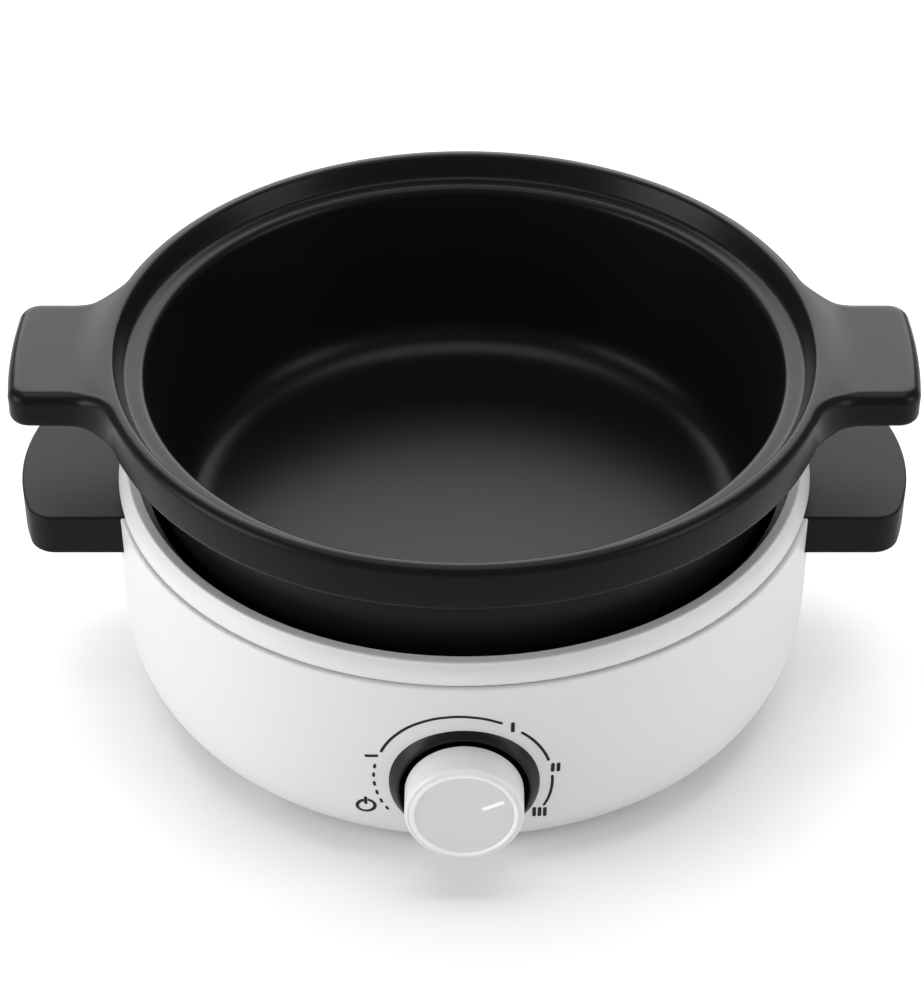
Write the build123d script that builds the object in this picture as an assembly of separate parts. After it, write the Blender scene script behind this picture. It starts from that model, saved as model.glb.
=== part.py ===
from build123d import *
from math import cos, radians, sin, sqrt
import os

# Round electric slow cooker: a glazed pot with two tab handles stands in a heated base.
# Millimetres, Z up, floor at Z = 0, control knob at the front (-Y), handles along X.
# Everything is drawn about the pot's own axis and moved by AXIS_Y when it is written,
# so that the frame's origin is the middle of the whole object's footprint.

# ---- driving dimensions -------------------------------------------------------------
# pot
RIM_TOP_Z = 152.0
RIM_OUTER_R = 142.6
RIM_CREST_R = 136.9
RIM_BOTTOM_Z = 133.2
LEDGE_Z = 143.0
LEDGE_OUTER_R = 132.4
LEDGE_INNER_R = 127.4
POT_MOUTH_R = 124.8
POT_FLOOR_Z = 72.0
POT_BOTTOM_Z = 66.0
POT_HANDLE_TOP_Z = 149.4
POT_HANDLE_BOTTOM_Z = 134.6
POT_HANDLE_HALF_W = 32.8
POT_HANDLE_TIP_X = 177.4
POT_HANDLE_CORNER_R = 8.5
POT_HANDLE_FLARE_R = 22.0
POT_HANDLE_EDGE_R = 4.2

# base
SEAM_Z = 93.0
SEAM_GAP = 0.4
SHELL_LIP_R = 139.3
SHELL_WALL_R = 137.8
SHELL_T = 2.7
SHELL_CURVE_Z = 40.0
SHELL_CURVE_A = 22.0
SHELL_BOTTOM_Z = 4.0
COVER_R = 111.6
COVER_T = 2.4
RING_TOP_Z = 102.0
RING_INNER_R = 130.0
RING_OUTER_R = 137.6
BASE_HANDLE_BOTTOM_Z = 74.8
BASE_HANDLE_HALF_W = 35.3
BASE_HANDLE_TIP_X = 176.3
BASE_HANDLE_END_R = 90.0
BASE_HANDLE_CORNER_R = 11.0
HANDLE_ROOT_R = 128.9
HANDLE_SCREW_X = 131.6
HANDLE_SCREW_Y = 12.0
RIB_DEGREES = (52, 128, 232, 308, 82, 98)

# heating
LINER_R = 127.6
LINER_T = 0.8
LINER_FLANGE_Z = 97.0
LINER_FLOOR_Z = 59.7
LINER_HOLE_R = 80.0
PLATE_R = 92.0
PLATE_TOP_Z = POT_BOTTOM_Z - 0.3
PLATE_UNDER_Z = LINER_FLOOR_Z - 1.0
ELEMENT_R = 62.0
ELEMENT_TUBE_R = 3.6
ELEMENT_GAP_DEG = 40.0
ELEMENT_Z = PLATE_UNDER_Z - ELEMENT_TUBE_R + 0.5
CLAMP_DEGREES = (0, 180, 300)
SHIELD_R = 90.0
SHIELD_Z = 40.0
SHIELD_T = 0.8
STUD_PITCH_R = 74.0
STUD_DEGREES = (90, 210, 330)

# dial, measured along its own axis: H is the distance from the pot's axis
DIAL_Z = 44.2
DIAL_HOLE_R = 26.2
BEZEL_R = 28.6
BEZEL_PROUD = 0.4
BEZEL_WELL_R = 24.6
BEZEL_CREST_H = 140.4
BEZEL_FLOOR_H = 136.4
BEZEL_FLOOR_T = 2.2
KNOB_R = 22.5
KNOB_BACK_H = 140.2
KNOB_FACE_H = 154.8
KNOB_WALL = 2.0
POINTER_DEG = 24.5
POINTER_START = 7.4
POINTER_END = 16.4
POINTER_W = 1.6
POINTER_SUNK = 1.6
SHAFT_R = 3.0
SHAFT_FIT = 0.05
GRIP_H = 141.0
GRIP_LENGTH = 9.0
CLIP_R = 4.4
CLIP_T = 0.8
CLIP_H = 143.2
CLIP_TALL = 2.6
BUSH_R = 5.0
THERMOSTAT_W = 30.0
THERMOSTAT_TALL = 27.0
THERMOSTAT_DEEP = 20.0
THERMOSTAT_FRONT_H = BEZEL_FLOOR_H - BEZEL_FLOOR_T
THERMOSTAT_BACK_Y = -(THERMOSTAT_FRONT_H - THERMOSTAT_DEEP)

# feet, cord gland and fasteners
FOOT_R = 12.0
FOOT_PITCH_R = 108.0
FOOT_DEG = 49.5
FOOT_PAD_T = 1.4
FOOT_DEGREES = (FOOT_DEG, 180 - FOOT_DEG, 180 + FOOT_DEG, 360 - FOOT_DEG)
FLANGE_Z = SHELL_BOTTOM_Z + COVER_T + 0.3
COVER_SCREW_R = 108.5
COVER_POST_DEGREES = (0, 90, 180, 270)
GLAND_Z = 26.0
GLAND_BORE_R = 3.6
GLAND_R = 8.0
TERMINAL_Y = 84.0
SCREW_R = 1.5
SCREW_HEAD_R = 2.8
SCREW_HEAD_T = 1.7

# the pot's axis stands behind the middle of the footprint, because the knob reaches out
AXIS_Y = (KNOB_FACE_H - RIM_OUTER_R) / 2

LEFT, RIGHT = -1, 1


# ---- helpers ------------------------------------------------------------------------
def turned(*points):
    """A solid of revolution about Z from a closed outline of (radius, height) points."""
    outline = Polyline(*[(r, 0, z) for r, z in points], close=True)
    return revolve(make_face(outline), axis=Axis.Z)


def ring(r_in, r_out, z0, z1):
    return turned((r_in, z0), (r_out, z0), (r_out, z1), (r_in, z1))


def disc(r, z0, z1):
    return Pos(0, 0, (z0 + z1) / 2) * Cylinder(r, z1 - z0)


def block(x0, x1, y0, y1, z0, z1):
    return Pos((x0 + x1) / 2, (y0 + y1) / 2, (z0 + z1) / 2) * Box(x1 - x0, y1 - y0, z1 - z0)


def around(part, radius, degrees_list):
    """Copies of a part, moved out by radius and turned about Z to each angle."""
    return [Rot(0, 0, a) * Pos(radius, 0, 0) * part for a in degrees_list]


def on_dial(part):
    """Turns a part drawn along +Z so that it points out of the front along the dial axis."""
    return Pos(0, 0, DIAL_Z) * Rot(90, 0, 0) * part


def screw(length, shank_r=SCREW_R, head_r=SCREW_HEAD_R, head_t=SCREW_HEAD_T):
    """A pan-head screw: head below Z = 0, shank above it, with a cross recess."""
    head = Pos(0, 0, -head_t / 2) * Cylinder(head_r, head_t)
    head = fillet(head.edges().sort_by(Axis.Z)[0], head_t * 0.45)
    shank = Pos(0, 0, length / 2) * Cylinder(shank_r, length)
    slot = Box(head_r * 1.3, 0.7, head_t)
    recess = Pos(0, 0, -head_t) * (slot + Rot(0, 0, 90) * slot)
    return head + shank - recess


def tube_along(points, corner_r, tube_r):
    """A round wire or tube along straight runs joined by tangent arcs."""
    path = FilletPolyline(*points, radius=corner_r)
    section = Plane(path @ 0, z_dir=path % 0) * Circle(tube_r)
    return sweep(section, path=path)


def write(name, part):
    """Writes one named piece, or a group of separate solids, at its place in the frame."""
    solids = [solid.moved(Location((0, AXIS_Y, 0))) for solid in part.solids()]
    export_step(Compound(children=solids) if len(solids) > 1 else solids[0], f"parts/{name}.step")


# ---- the pot ------------------------------------------------------------------------
def pot_outside():
    """Rim band, tapering wall and flat bottom with a shallow ring to stand on."""
    r = RIM_OUTER_R
    edges = [
        Line((0, 0, RIM_TOP_Z), (r - 3.4, 0, RIM_TOP_Z)),
        ThreePointArc((r - 3.4, 0, RIM_TOP_Z), (r - 0.9, 0, RIM_TOP_Z - 1.0), (r, 0, RIM_TOP_Z - 3.6)),
        Line((r, 0, RIM_TOP_Z - 3.6), (r - 0.4, 0, RIM_BOTTOM_Z + 1.4)),
        ThreePointArc((r - 0.4, 0, RIM_BOTTOM_Z + 1.4), (r - 0.9, 0, RIM_BOTTOM_Z + 0.4),
                      (r - 2.0, 0, RIM_BOTTOM_Z)),
        Line((r - 2.0, 0, RIM_BOTTOM_Z), (131.5, 0, RIM_BOTTOM_Z)),
        ThreePointArc((131.5, 0, RIM_BOTTOM_Z), (128.6, 0, RIM_BOTTOM_Z - 1.3),
                      (127.0, 0, RIM_BOTTOM_Z - 5.0)),
        Line((127.0, 0, RIM_BOTTOM_Z - 5.0), (122.0, 0, 82.0)),
        ThreePointArc((122.0, 0, 82.0), (117.0, 0, 70.6), (105.5, 0, POT_BOTTOM_Z)),
        Line((105.5, 0, POT_BOTTOM_Z), (66.0, 0, POT_BOTTOM_Z)),
        Line((66.0, 0, POT_BOTTOM_Z), (64.5, 0, POT_BOTTOM_Z + 0.8)),
        Line((64.5, 0, POT_BOTTOM_Z + 0.8), (0, 0, POT_BOTTOM_Z + 0.8)),
        Line((0, 0, POT_BOTTOM_Z + 0.8), (0, 0, RIM_TOP_Z)),
    ]
    return revolve(make_face(Wire(edges)), axis=Axis.Z)


def pot_inside():
    """The cavity: inside of the rim, lid ledge with rounded edges, wall and floor."""
    top = RIM_TOP_Z + 1.0
    edges = [
        Line((0, 0, top), (RIM_CREST_R + 1.2, 0, top)),
        Line((RIM_CREST_R + 1.2, 0, top), (RIM_CREST_R + 1.2, 0, RIM_TOP_Z)),
        ThreePointArc((RIM_CREST_R + 1.2, 0, RIM_TOP_Z), (RIM_CREST_R + 0.1, 0, RIM_TOP_Z - 0.5),
                      (RIM_CREST_R - 0.4, 0, RIM_TOP_Z - 1.6)),
        Line((RIM_CREST_R - 0.4, 0, RIM_TOP_Z - 1.6), (LEDGE_OUTER_R + 1.7, 0, LEDGE_Z + 2.0)),
        ThreePointArc((LEDGE_OUTER_R + 1.7, 0, LEDGE_Z + 2.0), (LEDGE_OUTER_R + 0.7, 0, LEDGE_Z + 0.6),
                      (LEDGE_OUTER_R - 0.9, 0, LEDGE_Z)),
        Line((LEDGE_OUTER_R - 0.9, 0, LEDGE_Z), (LEDGE_INNER_R, 0, LEDGE_Z)),
        ThreePointArc((LEDGE_INNER_R, 0, LEDGE_Z), (POT_MOUTH_R + 0.7, 0, LEDGE_Z - 0.9),
                      (POT_MOUTH_R - 0.2, 0, LEDGE_Z - 3.2)),
        Line((POT_MOUTH_R - 0.2, 0, LEDGE_Z - 3.2), (116.6, 0, 86.0)),
        ThreePointArc((116.6, 0, 86.0), (112.6, 0, 76.2), (102.5, 0, POT_FLOOR_Z)),
        Line((102.5, 0, POT_FLOOR_Z), (0, 0, POT_FLOOR_Z)),
        Line((0, 0, POT_FLOOR_Z), (0, 0, top)),
    ]
    return revolve(make_face(Wire(edges)), axis=Axis.Z)


def pot_handle_plan():
    """Half-outline of one tab, mirrored: flare at the rim, straight side, rounded corner."""
    w, tip = POT_HANDLE_HALF_W, POT_HANDLE_TIP_X
    corner, flare = POT_HANDLE_CORNER_R, POT_HANDLE_FLARE_R
    root_r = RIM_OUTER_R - 0.6
    flare_y = w + flare
    flare_x = sqrt((root_r + flare) ** 2 - flare_y**2)
    touch_x = flare_x * root_r / (root_r + flare)
    touch_y = flare_y * root_r / (root_r + flare)
    side = [
        Line((120, 0), (120, touch_y)),
        Line((120, touch_y), (touch_x, touch_y)),
        RadiusArc((touch_x, touch_y), (flare_x, w), -flare),
        Line((flare_x, w), (tip - 1.0 - corner, w)),
        RadiusArc((tip - 1.0 - corner, w), (tip - 1.0, w - corner), corner),
        Line((tip - 1.0, w - corner), (tip, 0)),
    ]
    half = make_face(Wire(side + [Line((tip, 0), (120, 0))]))
    return half + mirror(half, about=Plane.XZ)


def pot_handle(side):
    """One integral tab handle, thick and softly rounded, blended up to the rim crest."""
    plan = pot_handle_plan()
    thick = POT_HANDLE_TOP_Z - POT_HANDLE_BOTTOM_Z
    tab = Pos(0, 0, POT_HANDLE_BOTTOM_Z) * extrude(plan, amount=thick)
    rounded = [e for e in tab.edges() if abs(e.center().Z - POT_HANDLE_TOP_Z) < 0.1
               or abs(e.center().Z - POT_HANDLE_BOTTOM_Z) < 0.1]
    tab = fillet([e for e in rounded if e.center().X > 125], POT_HANDLE_EDGE_R)
    ramp = revolve(make_face(Wire([
        Line((130, 0, POT_HANDLE_TOP_Z - 4), (130, 0, RIM_TOP_Z)),
        Line((130, 0, RIM_TOP_Z), (RIM_OUTER_R - 3.4, 0, RIM_TOP_Z)),
        ThreePointArc((RIM_OUTER_R - 3.4, 0, RIM_TOP_Z), (RIM_OUTER_R + 2.6, 0, RIM_TOP_Z - 1.6),
                      (RIM_OUTER_R + 11.0, 0, POT_HANDLE_TOP_Z)),
        Line((RIM_OUTER_R + 11.0, 0, POT_HANDLE_TOP_Z), (RIM_OUTER_R + 11.0, 0, POT_HANDLE_TOP_Z - 4)),
        Line((RIM_OUTER_R + 11.0, 0, POT_HANDLE_TOP_Z - 4), (130, 0, POT_HANDLE_TOP_Z - 4)),
    ])), axis=Axis.Z)
    width = POT_HANDLE_HALF_W - POT_HANDLE_EDGE_R
    ramp = ramp & block(130, 160, -width, width, POT_HANDLE_TOP_Z - 4, RIM_TOP_Z + 1)
    return Rot(0, 0, 0 if side == RIGHT else 180) * (tab + ramp)


def pot():
    body = pot_outside() + pot_handle(LEFT) + pot_handle(RIGHT)
    return body - pot_inside()


# ---- outer casing of the base -------------------------------------------------------
def shell_outline(inset):
    """(edges, bottom) of the outer wall: leaning side, then a rounded lower corner."""
    centre_r = SHELL_WALL_R - SHELL_CURVE_A
    a = SHELL_CURVE_A - inset
    b = SHELL_CURVE_Z - SHELL_BOTTOM_Z - inset
    top = Line((SHELL_LIP_R - inset, 0, SEAM_Z), (SHELL_WALL_R - inset, 0, SHELL_CURVE_Z))
    corner = [(centre_r + a * cos(radians(t)), 0, SHELL_CURVE_Z - b * sin(radians(t)))
              for t in (0, 15, 30, 45, 60, 75, 90)]
    curve = Spline(*corner, tangents=[(0, 0, -1), (-1, 0, 0)])
    return top, curve, (centre_r, 0, SHELL_CURVE_Z - b)


def shell_filled(inset):
    top, curve, end = shell_outline(inset)
    edges = [top, curve, Line(end, (0, 0, end[2])), Line((0, 0, end[2]), (0, 0, SEAM_Z)),
             Line((0, 0, SEAM_Z), (SHELL_LIP_R - inset, 0, SEAM_Z))]
    return revolve(make_face(Wire(edges)), axis=Axis.Z)


def base_shell():
    """The lower casing: side wall, inner ledge for the bottom cover, posts, ribs, openings."""
    body = shell_filled(0)
    body = fillet(body.edges().sort_by(Axis.Z)[-1], 0.9)
    body -= shell_filled(SHELL_T)
    body -= disc(COVER_R + 0.4, 0, FLANGE_Z)
    body += ring(104.0, 119.0, FLANGE_Z, FLANGE_Z + 2.5)
    for post in around(disc(4.6, FLANGE_Z, FLANGE_Z + 12), COVER_SCREW_R, COVER_POST_DEGREES):
        body += post
    # ribs that carry the flange of the heated bowl, stepped back under the ring's spigot
    core = shell_filled(SHELL_T / 2)
    for rib in around(block(0, 9, -1.5, 1.5, 50, SEAM_Z - 7.5), HANDLE_ROOT_R, RIB_DEGREES):
        body += rib & core
    tall = block(0, 4.6, -1.5, 1.5, SEAM_Z - 8, LINER_FLANGE_Z - LINER_T)
    for rib in around(tall, HANDLE_ROOT_R, RIB_DEGREES):
        body += rib
    # shelves and notches for the two side handles
    for turn in (0, 180):
        shelf = ring(HANDLE_ROOT_R, SHELL_WALL_R - 0.6, BASE_HANDLE_BOTTOM_Z - 3, BASE_HANDLE_BOTTOM_Z)
        shelf = shelf & block(100, 140, -30, 30, 0, SEAM_Z)
        body += Rot(0, 0, turn) * shelf
        width = BASE_HANDLE_HALF_W + 0.15
        body -= Rot(0, 0, turn) * block(100, 150, -width, width, BASE_HANDLE_BOTTOM_Z, SEAM_Z + 1)
        for y in (-HANDLE_SCREW_Y, HANDLE_SCREW_Y):
            hole = Pos(HANDLE_SCREW_X, y, BASE_HANDLE_BOTTOM_Z - 2) * Cylinder(SCREW_R, 6)
            body -= Rot(0, 0, turn) * hole
    body -= on_dial(disc(DIAL_HOLE_R, 110, 150))
    body -= Pos(0, 138, GLAND_Z) * Rot(90, 0, 0) * Cylinder(GLAND_R - 2.2, 24)
    for hole in around(disc(SCREW_R, 0, FLANGE_Z + 11), COVER_SCREW_R, COVER_POST_DEGREES):
        body -= hole
    for hole in around(disc(3.0, 0, FLANGE_Z + 6), FOOT_PITCH_R, FOOT_DEGREES):
        body -= hole
    return body


def top_ring():
    """The separate trim ring round the mouth: flat lip, leaning face, spigot into the shell."""
    z = SEAM_Z + SEAM_GAP
    r_in, r_out, top = RING_INNER_R, RING_OUTER_R, RING_TOP_Z
    edges = [
        Line((r_out - 1.5, 0, z), (r_out - 0.5, 0, z)),
        ThreePointArc((r_out - 0.5, 0, z), (r_out - 0.15, 0, z + 0.15), (r_out, 0, z + 0.5)),
        ThreePointArc((r_out, 0, z + 0.5), (r_out - 1.0, 0, z + 4.6), (r_out - 2.9, 0, top - 0.9)),
        ThreePointArc((r_out - 2.9, 0, top - 0.9), (r_out - 3.3, 0, top - 0.25), (r_out - 4.0, 0, top)),
        Line((r_out - 4.0, 0, top), (r_in + 0.8, 0, top)),
        ThreePointArc((r_in + 0.8, 0, top), (r_in + 0.2, 0, top - 0.2), (r_in, 0, top - 0.8)),
        Line((r_in, 0, top - 0.8), (r_in, 0, LINER_FLANGE_Z)),
        Line((r_in, 0, LINER_FLANGE_Z), (r_in + 1.6, 0, LINER_FLANGE_Z)),
        Line((r_in + 1.6, 0, LINER_FLANGE_Z), (r_in + 1.8, 0, top - 2.2)),
        Line((r_in + 1.8, 0, top - 2.2), (r_out - 4.6, 0, top - 2.4)),
        Line((r_out - 4.6, 0, top - 2.4), (r_out - 2.9, 0, z)),
        Line((r_out - 2.9, 0, z), (r_out - 2.9, 0, SEAM_Z - 7)),
        Line((r_out - 2.9, 0, SEAM_Z - 7), (r_out - 1.5, 0, SEAM_Z - 7)),
        Line((r_out - 1.5, 0, SEAM_Z - 7), (r_out - 1.5, 0, z)),
    ]
    body = revolve(make_face(Wire(edges)), axis=Axis.Z)
    width = BASE_HANDLE_HALF_W + 0.6
    return body - block(-150, 150, -width, width, SEAM_Z - 20, z - 0.01)


def base_handle(side):
    """A flat-topped tab with a convex end; its root is held between ring and shell."""
    w, tip, end_r = BASE_HANDLE_HALF_W, BASE_HANDLE_TIP_X, BASE_HANDLE_END_R
    drop = end_r - sqrt(end_r**2 - w**2)
    edges = [
        Line((110, -w), (tip - drop, -w)),
        RadiusArc((tip - drop, -w), (tip - drop, w), -end_r),
        Line((tip - drop, w), (110, w)),
        Line((110, w), (110, -w)),
    ]
    plan = make_face(Wire(edges))
    plan = fillet(plan.vertices().sort_by(Axis.X)[-2:], BASE_HANDLE_CORNER_R)
    thick = SEAM_Z - BASE_HANDLE_BOTTOM_Z
    tab = Pos(0, 0, SEAM_Z) * extrude(plan, amount=thick, dir=(0, 0, -1), taper=1.5)
    outer = [e for e in tab.edges().group_by(Axis.Z)[-1] if e.center().X > 125]
    tab = fillet(outer, 1.0)
    outer = [e for e in tab.edges().group_by(Axis.Z)[0] if e.center().X > 125]
    tab = fillet(outer, 1.4)
    tab -= disc(HANDLE_ROOT_R, 0, SEAM_Z + 1)
    for y in (-HANDLE_SCREW_Y, HANDLE_SCREW_Y):
        tab -= Pos(HANDLE_SCREW_X, y, BASE_HANDLE_BOTTOM_Z) * Cylinder(SCREW_R, 20)
    return Rot(0, 0, 0 if side == RIGHT else 180) * tab


def bottom_cover():
    """Flat cover closing the underside, with rows of vent slots and a stiffening ring."""
    z0, z1 = SHELL_BOTTOM_Z, SHELL_BOTTOM_Z + COVER_T
    body = disc(COVER_R, z0, z1) + ring(96.0, 98.0, z1, z1 + 3)
    slot = Pos(0, 0, z0) * SlotOverall(26, 3.2)
    slot = extrude(slot, amount=COVER_T)
    for row in range(-4, 5):
        for column in (-1, 0, 1):
            body -= Pos(column * 36, row * 9, 0) * slot
    for hole in around(disc(SCREW_R + 0.2, 0, 10), COVER_SCREW_R, COVER_POST_DEGREES):
        body -= hole
    for pocket in around(disc(SCREW_HEAD_R + 0.4, z0, z0 + SCREW_HEAD_T), COVER_SCREW_R, COVER_POST_DEGREES):
        body -= pocket
    for hole in around(disc(3.0, 0, 10), FOOT_PITCH_R, FOOT_DEGREES):
        body -= hole
    return body


def feet():
    """Four moulded feet, each a shallow puck with a peg up through cover and shell."""
    puck = disc(FOOT_R, FOOT_PAD_T, SHELL_BOTTOM_Z)
    puck = fillet(puck.edges().sort_by(Axis.Z)[0], 1.0)
    puck += disc(3.0, SHELL_BOTTOM_Z, FLANGE_Z + 5)
    puck -= disc(FOOT_R - 3.0, 0, FOOT_PAD_T + 0.8)
    return Compound(children=around(puck, FOOT_PITCH_R, FOOT_DEGREES))


def foot_pads():
    pad = disc(FOOT_R - 3.0, 0, FOOT_PAD_T + 0.8)
    pad = fillet(pad.edges().sort_by(Axis.Z)[0], 0.4)
    return Compound(children=around(pad, FOOT_PITCH_R, FOOT_DEGREES))


# ---- heating ------------------------------------------------------------------------
def heater_bowl():
    """Pressed steel bowl that the pot stands in, hung by its flange, open under the plate."""
    r, t, top, floor = LINER_R, LINER_T, LINER_FLANGE_Z, LINER_FLOOR_Z
    return turned(
        (r - t, top), (133.2, top), (133.2, top - t), (r, top - t), (r - 1.0, floor + 8),
        (r - 8.5, floor - t), (LINER_HOLE_R, floor - t), (LINER_HOLE_R, floor),
        (r - 8.9, floor), (r - 1.8, floor + 8.3),
    )


def heating_plate():
    """Cast plate under the pot: flat face, stepped rim, three threaded bosses beneath."""
    z0, z1 = LINER_FLOOR_Z, PLATE_TOP_Z
    body = disc(PLATE_R, z0, z1)
    body = chamfer(body.edges().sort_by(Axis.Z)[-1], 1.2)
    body += disc(LINER_HOLE_R - 0.5, z0 - 1.0, z0)
    for boss in around(disc(4.5, z0 - 9, z0), STUD_PITCH_R, STUD_DEGREES):
        body += boss
    for hole in around(disc(SCREW_R, z0 - 10, z0 + 3), STUD_PITCH_R, STUD_DEGREES):
        body -= hole
    return body


def heating_element():
    """Sheathed tube in an open hoop, flattened against the plate, a terminal pin at each end."""
    tube = Pos(ELEMENT_R, ELEMENT_Z) * Circle(ELEMENT_TUBE_R)
    tube -= Pos(ELEMENT_R, PLATE_UNDER_Z + 5) * Rectangle(20, 10)
    hoop = revolve(Plane.XZ * tube, axis=Axis.Z, revolution_arc=360 - ELEMENT_GAP_DEG)
    body = Rot(0, 0, ELEMENT_GAP_DEG / 2 + 90) * hoop
    leg = disc(ELEMENT_TUBE_R - 0.1, ELEMENT_Z - 7, PLATE_UNDER_Z)
    leg += disc(1.2, ELEMENT_Z - 12, ELEMENT_Z - 7)
    for one in around(leg, ELEMENT_R, (90 - ELEMENT_GAP_DEG / 2, 90 + ELEMENT_GAP_DEG / 2)):
        body += one
    return body


def element_clamps():
    """Three saddle straps that hold the hoop up against the plate."""
    strap = block(-11, 11, -5, 5, ELEMENT_Z - ELEMENT_TUBE_R - 1.4, PLATE_UNDER_Z)
    strap -= block(-4.6, 4.6, -6, 6, ELEMENT_Z - ELEMENT_TUBE_R - 0.001, PLATE_UNDER_Z + 1)
    strap -= Pos(-8, 0, ELEMENT_Z) * Cylinder(SCREW_R, 30)
    strap -= Pos(8, 0, ELEMENT_Z) * Cylinder(SCREW_R, 30)
    return Compound(children=around(strap, ELEMENT_R, CLAMP_DEGREES))


def clamp_screws():
    z = ELEMENT_Z - ELEMENT_TUBE_R - 1.4
    one = Pos(0, 0, z) * screw(PLATE_UNDER_Z - z)
    inner = around(one, ELEMENT_R - 8, CLAMP_DEGREES)
    outer = around(one, ELEMENT_R + 8, CLAMP_DEGREES)
    return Compound(children=inner + outer)


def heat_shield():
    """Bright steel dish below the element that keeps the heat off the bottom cover."""
    r, z, t = SHIELD_R, SHIELD_Z, SHIELD_T
    body = turned((0, z), (r - 5, z), (r, z + 5), (r, z + 8), (r - t, z + 8),
                  (r - t, z + 5.3), (r - 5.3, z + t), (0, z + t))
    for hole in around(disc(SCREW_R, z - 5, z + 5), STUD_PITCH_R, STUD_DEGREES):
        body -= hole
    body -= Pos(0, 62, z) * Box(52, 14, 10)
    return body


def shield_spacers():
    z0, z1 = SHIELD_Z + SHIELD_T, LINER_FLOOR_Z - 9
    one = disc(4.5, z0, z1) - disc(SCREW_R, z0 - 1, z1 + 1)
    return Compound(children=around(one, STUD_PITCH_R, STUD_DEGREES))


def plate_screws():
    one = Pos(0, 0, SHIELD_Z) * screw(LINER_FLOOR_Z + 2 - SHIELD_Z)
    return Compound(children=around(one, STUD_PITCH_R, STUD_DEGREES))


def bowl_seal():
    """Heat-resistant gasket between the bowl's flange and the ring."""
    return ring(RING_INNER_R + 1.75, 133.2, LINER_FLANGE_Z, LINER_FLANGE_Z + 1.6)


def thermal_fuse():
    """One-shot cut-out: a short can with a lead at each end, under the plate."""
    z = PLATE_UNDER_Z - 2.0
    can = Pos(0, 30, z) * Rot(0, 90, 0) * Cylinder(2.0, 11)
    leads = Pos(0, 30, z) * Rot(0, 90, 0) * Cylinder(0.5, 30)
    return can + leads - disc(PLATE_R, PLATE_UNDER_Z, PLATE_UNDER_Z + 5)


def fuse_clip():
    z0, z1 = PLATE_UNDER_Z - 5.2, PLATE_UNDER_Z
    clip = block(-3, 3, 24, 36, z0, z1) - block(-4, 4, 27.8, 32.2, z0 + 1.2, z1 + 1)
    return clip


def sensor_bulb():
    """Liquid-filled bulb of the thermostat, lying against the plate."""
    z = PLATE_UNDER_Z - 2.6
    bulb = Pos(0, -8, z) * Rot(90, 0, 0) * Cylinder(2.6, 44)
    return bulb - disc(PLATE_R, PLATE_UNDER_Z, PLATE_UNDER_Z + 5)


def capillary_tube():
    """Fine tube from the bulb down to the back of the thermostat."""
    z = PLATE_UNDER_Z - 2.6
    route = [(0, -30, z), (0, -38, z), (0, -46, DIAL_Z + 6), (0, THERMOSTAT_BACK_Y, DIAL_Z + 6)]
    return tube_along(route, 3.0, 0.8)


# ---- dial ---------------------------------------------------------------------------
def knob_bezel():
    """Black trim ring: a thin flange that follows the wall, a raised crest, a well for the knob."""
    sleeve_r, crest = DIAL_HOLE_R - 0.2, BEZEL_CREST_H
    cone = turned((sleeve_r - 0.5, 125), (BEZEL_R - 0.9, 125), (BEZEL_R - 0.9, crest - 2.0),
                  (BEZEL_WELL_R + 0.8, crest), (sleeve_r - 0.5, crest - 0.8))
    flange = on_dial(ring(sleeve_r - 0.5, BEZEL_R, 125, 141)) & shell_filled(-BEZEL_PROUD)
    seat = on_dial(cone) + flange - shell_filled(0)
    back = THERMOSTAT_FRONT_H
    well = turned((BUSH_R + 0.3, back), (BEZEL_WELL_R, back), (BEZEL_WELL_R, back - 4),
                  (sleeve_r, back - 4),
                  (sleeve_r, crest - 0.9), (BEZEL_WELL_R + 0.8, crest), (BEZEL_WELL_R + 0.2, crest),
                  (BEZEL_WELL_R, crest - 0.3), (BEZEL_WELL_R, BEZEL_FLOOR_H), (BUSH_R + 0.3, BEZEL_FLOOR_H))
    return on_dial(well) + seat


def d_section(r, flat):
    return Circle(r) - Pos(0, flat + r) * Rectangle(4 * r, 2 * r)


def thermostat_shaft():
    """Steel spindle, round in the thermostat and flatted where the knob grips it."""
    start = THERMOSTAT_FRONT_H - 11.6
    rod = disc(SHAFT_R, start, GRIP_H)
    grip = Pos(0, 0, GRIP_H) * extrude(d_section(SHAFT_R, 1.7), amount=GRIP_LENGTH)
    return on_dial(Rot(0, 0, POINTER_DEG) * (rod + grip))


def knob():
    """Turned cap: straight side, rounded edge with a fine bead, shallow dished face, D hub."""
    r, face, back = KNOB_R, KNOB_FACE_H, KNOB_BACK_H
    outside = [
        Line((0, 0, back), (r - 0.3, 0, back)),
        Line((r - 0.3, 0, back), (r, 0, back + 0.4)),
        Line((r, 0, back + 0.4), (r, 0, face - 1.9)),
        ThreePointArc((r, 0, face - 1.9), (r - 0.5, 0, face - 0.9), (r - 1.9, 0, face - 0.45)),
        ThreePointArc((r - 1.9, 0, face - 0.45), (r - 2.75, 0, face), (r - 3.6, 0, face - 0.5)),
        TangentArc((0, 0, face - 0.7), (r - 3.6, 0, face - 0.5), tangent=(1, 0, 0)),
        Line((0, 0, face - 0.7), (0, 0, back)),
    ]
    body = revolve(make_face(Wire(outside)), axis=Axis.Z)
    body -= disc(r - KNOB_WALL, back - 1, face - 3.4)
    body += disc(6.6, back + 2.3, face - 3.0)
    body -= Pos(0, 0, GRIP_H) * extrude(d_section(SHAFT_R, 1.7), amount=GRIP_LENGTH)
    body -= ring(CLIP_R, CLIP_R + CLIP_T, back, CLIP_H + CLIP_TALL)
    for turn in range(0, 360, 60):
        web = block(6.4, r - KNOB_WALL + 0.2, -0.6, 0.6, back + 5.0, face - 3.0)
        body += Rot(0, 0, turn) * web
    body -= Pos(0, 0, face - POINTER_SUNK) * extrude(pointer_outline(), amount=3)
    return on_dial(Rot(0, 0, POINTER_DEG) * body)


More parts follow.
